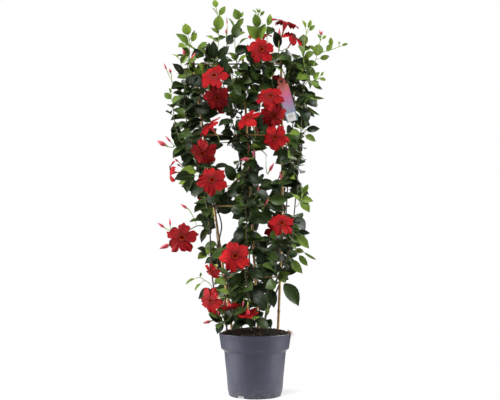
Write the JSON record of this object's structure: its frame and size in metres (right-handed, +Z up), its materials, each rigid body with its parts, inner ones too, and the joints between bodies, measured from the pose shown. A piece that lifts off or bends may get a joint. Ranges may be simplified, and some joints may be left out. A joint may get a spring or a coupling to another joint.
{
  "type": "potted climbing plant on a trellis",
  "caption": "Red-flowered mandevilla climbing a flat bamboo trellis, rooted in a round plastic nursery pot with a hanging care label.",
  "frame": {"origin": "middle of the pot's foot, on the floor", "axes": "+Z up the plant, the trellis and its front face -Y, +X to the right seen from the front"},
  "size_m": [0.588, 0.2694, 1.212],
  "materials": {
    "pot_plastic": "satin",
    "soil": "loose and matt",
    "bamboo": "satin",
    "foliage_dark": "glossy",
    "foliage_light": "satin",
    "petals": "velvety",
    "label": "glossy",
    "label_tie": "satin"
  },
  "bodies": {
    "root": {"bloom_01": "petals", "bloom_02": "petals", "bloom_03": "petals", "bloom_04": "petals", "bloom_05": "petals", "bloom_06": "petals", "bloom_07": "petals", "bloom_08": "petals", "bloom_09": "petals", "bloom_10": "petals", "bloom_11": "petals", "bloom_12": "petals", "bloom_13": "petals", "bloom_14": "petals", "bloom_15": "petals", "bloom_16": "petals", "bloom_17": "petals", "bloom_18": "petals", "bloom_19": "petals", "bloom_20": "petals", "bloom_21": "petals", "bloom_22": "petals", "bloom_23": "petals", "bloom_24": "petals", "bloom_25": "petals", "bloom_26": "petals", "bloom_27": "petals", "cane_left": "bamboo", "cane_middle": "bamboo", "cane_right": "bamboo", "crossbar_1": "bamboo", "crossbar_2": "bamboo", "crossbar_3": "bamboo", "crossbar_4": "bamboo", "pot": "pot_plastic", "shoot_crown_left": "foliage_light", "shoot_crown_second": "foliage_light", "shoot_crown_third": "foliage_light", "shoot_crown_upright": "foliage_light", "shoot_left_crown": "foliage_light", "shoot_left_low": "foliage_light", "shoot_left_middle": "foliage_light", "shoot_left_side": "foliage_light", "shoot_right_crown": "foliage_light", "shoot_right_drop": "foliage_light", "shoot_right_low": "foliage_light", "shoot_right_side": "foliage_light", "shoot_right_tip": "foliage_light", "soil": "soil", "stem_back_left": "foliage_dark", "stem_back_middle": "foliage_dark", "stem_back_right": "foliage_dark", "stem_left_cane": "foliage_dark", "stem_left_free": "foliage_dark", "stem_middle_cane": "foliage_dark", "stem_middle_front": "foliage_dark", "stem_right_cane": "foliage_dark", "stem_right_outer": "foliage_dark", "tag": "label", "tag_tie": "label_tie"}
  },
  "joints": []
}
